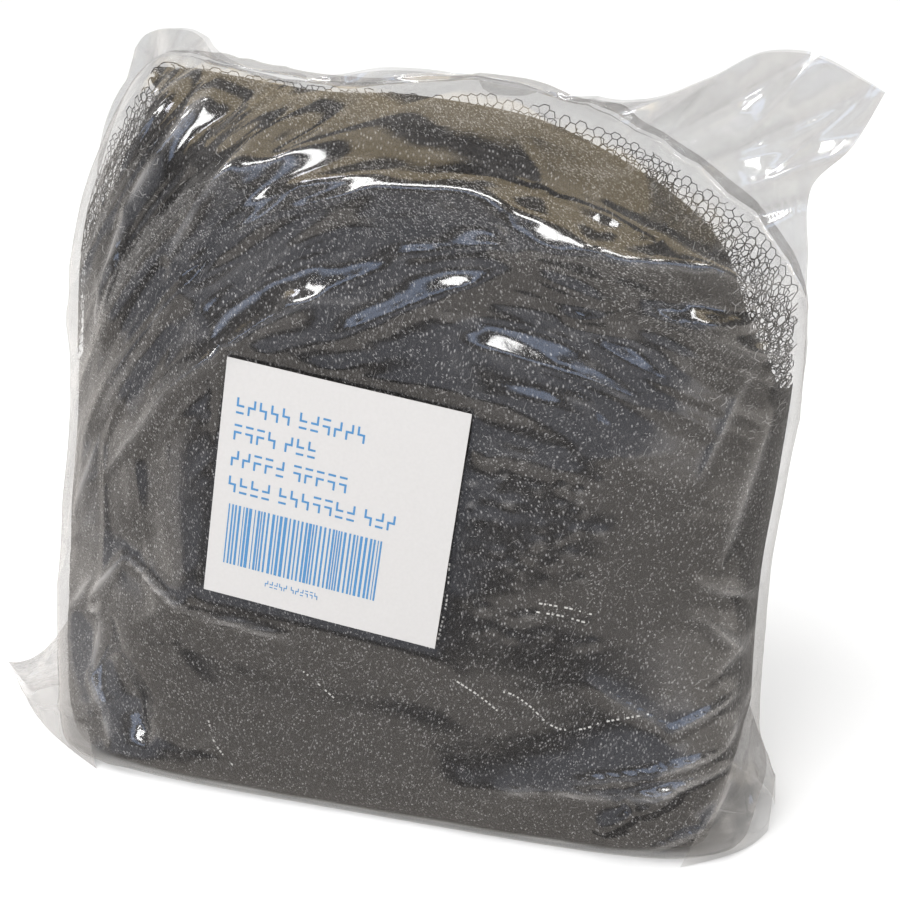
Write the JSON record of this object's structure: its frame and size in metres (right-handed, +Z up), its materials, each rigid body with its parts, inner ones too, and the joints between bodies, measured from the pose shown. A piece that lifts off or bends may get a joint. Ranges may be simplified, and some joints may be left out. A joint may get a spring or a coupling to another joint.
{
  "type": "bagged bundle of hairnets",
  "caption": "Clear film bag packed with folded black honeycomb hairnets, with a paper label on its front; it stands upright on its sealed bottom.",
  "frame": {"origin": "on the floor, under the middle of the whole bag", "axes": "+Z up, the labelled front faces -Y, +X to the right seen from the front"},
  "size_m": [0.3128, 0.1086, 0.2675],
  "materials": {
    "film": "clear blown polythene film, glossy, creased",
    "paper": "white coated paper label with plain pale blue marks",
    "net": "black knitted nylon hexagon net, slight sheen on its filaments"
  },
  "bodies": {
    "root": {"film_bag": "film", "label": "paper", "net_stack_front": "net", "net_stack_middle": "net", "net_stack_back": "net", "net_tuft": "net", "loose_net_right": "net", "loose_net_top": "net", "loose_net_left": "net"}
  },
  "joints": []
}
